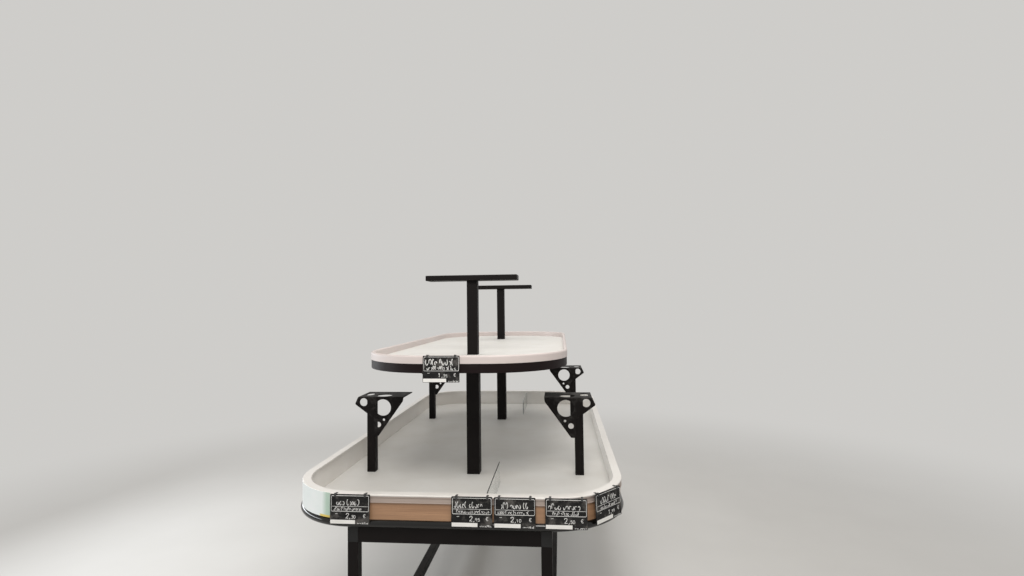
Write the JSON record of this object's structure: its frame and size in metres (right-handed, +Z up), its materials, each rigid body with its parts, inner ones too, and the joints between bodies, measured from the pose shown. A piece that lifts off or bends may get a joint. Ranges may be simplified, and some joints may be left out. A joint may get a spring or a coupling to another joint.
{
  "type": "produce display stand",
  "caption": "Two-tier shop stand for fruit and vegetables: a long tray with rounded corners on a black steel table frame, with a smaller tray above and perforated consoles between.",
  "frame": {"origin": "on the floor, under the middle of the stand", "axes": "+Z up, +Y along the stand's length away from the customer's end, +X to the right"},
  "size_m": [1.314, 2.4286, 1.7],
  "materials": {
    "frame_black": "satin black powder coat",
    "foot_black": "matt",
    "bumper_black": "glossy",
    "fascia_black": "satin",
    "rim_wood": "wood decor, satin",
    "rail_grey": "satin",
    "liner_white": "satin white",
    "deck_white": "satin white",
    "divider_clear": "clear",
    "slate": "matt chalk board",
    "card_white": "laminated"
  },
  "bodies": {
    "root": {"levelling_feet": "foot_black", "leg_front_left": "frame_black", "leg_front_right": "frame_black", "leg_rear_left": "frame_black", "leg_rear_right": "frame_black", "low_rail_left": "frame_black", "low_rail_right": "frame_black", "low_crossbar_front": "frame_black", "low_crossbar_rear": "frame_black", "top_rail_left": "frame_black", "top_rail_right": "frame_black", "top_crossbar_front": "frame_black", "top_crossbar_rear": "frame_black", "frame_beam_front": "frame_black", "frame_beam_rear": "frame_black", "tray_deck": "deck_white", "rim_ends": "rim_wood", "rim_sides": "rim_wood", "rim_corners": "rim_wood", "price_rail": "rail_grey", "bumper": "bumper_black", "tray_liner": "liner_white", "dividers": "divider_clear", "centre_post_front": "frame_black", "centre_post_rear": "frame_black", "post_sleeve_front": "frame_black", "post_sleeve_rear": "frame_black", "t_bar_front": "frame_black", "t_bar_rear": "frame_black", "side_post_front_left": "frame_black", "side_post_front_right": "frame_black", "side_post_rear_left": "frame_black", "side_post_rear_right": "frame_black", "console_front_left": "frame_black", "console_front_right": "frame_black", "console_rear_left": "frame_black", "console_rear_right": "frame_black", "upper_arm_front": "frame_black", "upper_arm_rear": "frame_black", "upper_deck": "deck_white", "upper_rim": "liner_white", "upper_fascia": "fascia_black", "price_boards": "slate", "upper_price_board": "slate", "corner_card": "card_white"}
  },
  "joints": []
}
